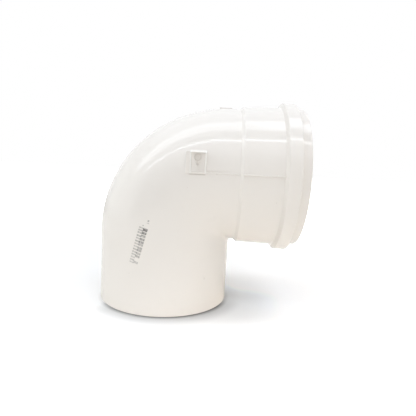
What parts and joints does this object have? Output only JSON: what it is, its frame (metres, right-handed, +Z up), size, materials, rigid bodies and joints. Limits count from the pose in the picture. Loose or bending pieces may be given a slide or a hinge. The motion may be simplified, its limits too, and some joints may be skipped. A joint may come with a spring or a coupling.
{
  "type": "flue elbow",
  "caption": "Coaxial boiler flue elbow: a white outer air duct round an inner flue pipe, turned through a right angle, with plain spigots, sealed sockets and spacers.",
  "frame": {"origin": "centre of the outer spigot's end, which is the plane the elbow stands on", "axes": "+Z up the foot's axis, +X along the arm's axis out of the sockets, +Y completes the right-handed frame; X-Z is the elbow's plane of symmetry"},
  "size_m": [0.1507, 0.1126, 0.1558],
  "materials": {
    "white_plastic": "semi-gloss moulded polypropylene, slightly warm white",
    "black_rubber": "matt moulded EPDM with a film of silicone grease",
    "grey_plastic": "satin moulded polypropylene, light grey and faintly cloudy",
    "spacer_plastic": "satin moulded polypropylene, mid grey"
  },
  "bodies": {
    "root": {"outer_elbow": "white_plastic", "outer_lip_seal": "black_rubber", "inner_elbow": "grey_plastic", "inner_lip_seal": "black_rubber", "spigot_spacer": "spacer_plastic", "socket_spacer": "spacer_plastic"}
  },
  "joints": []
}
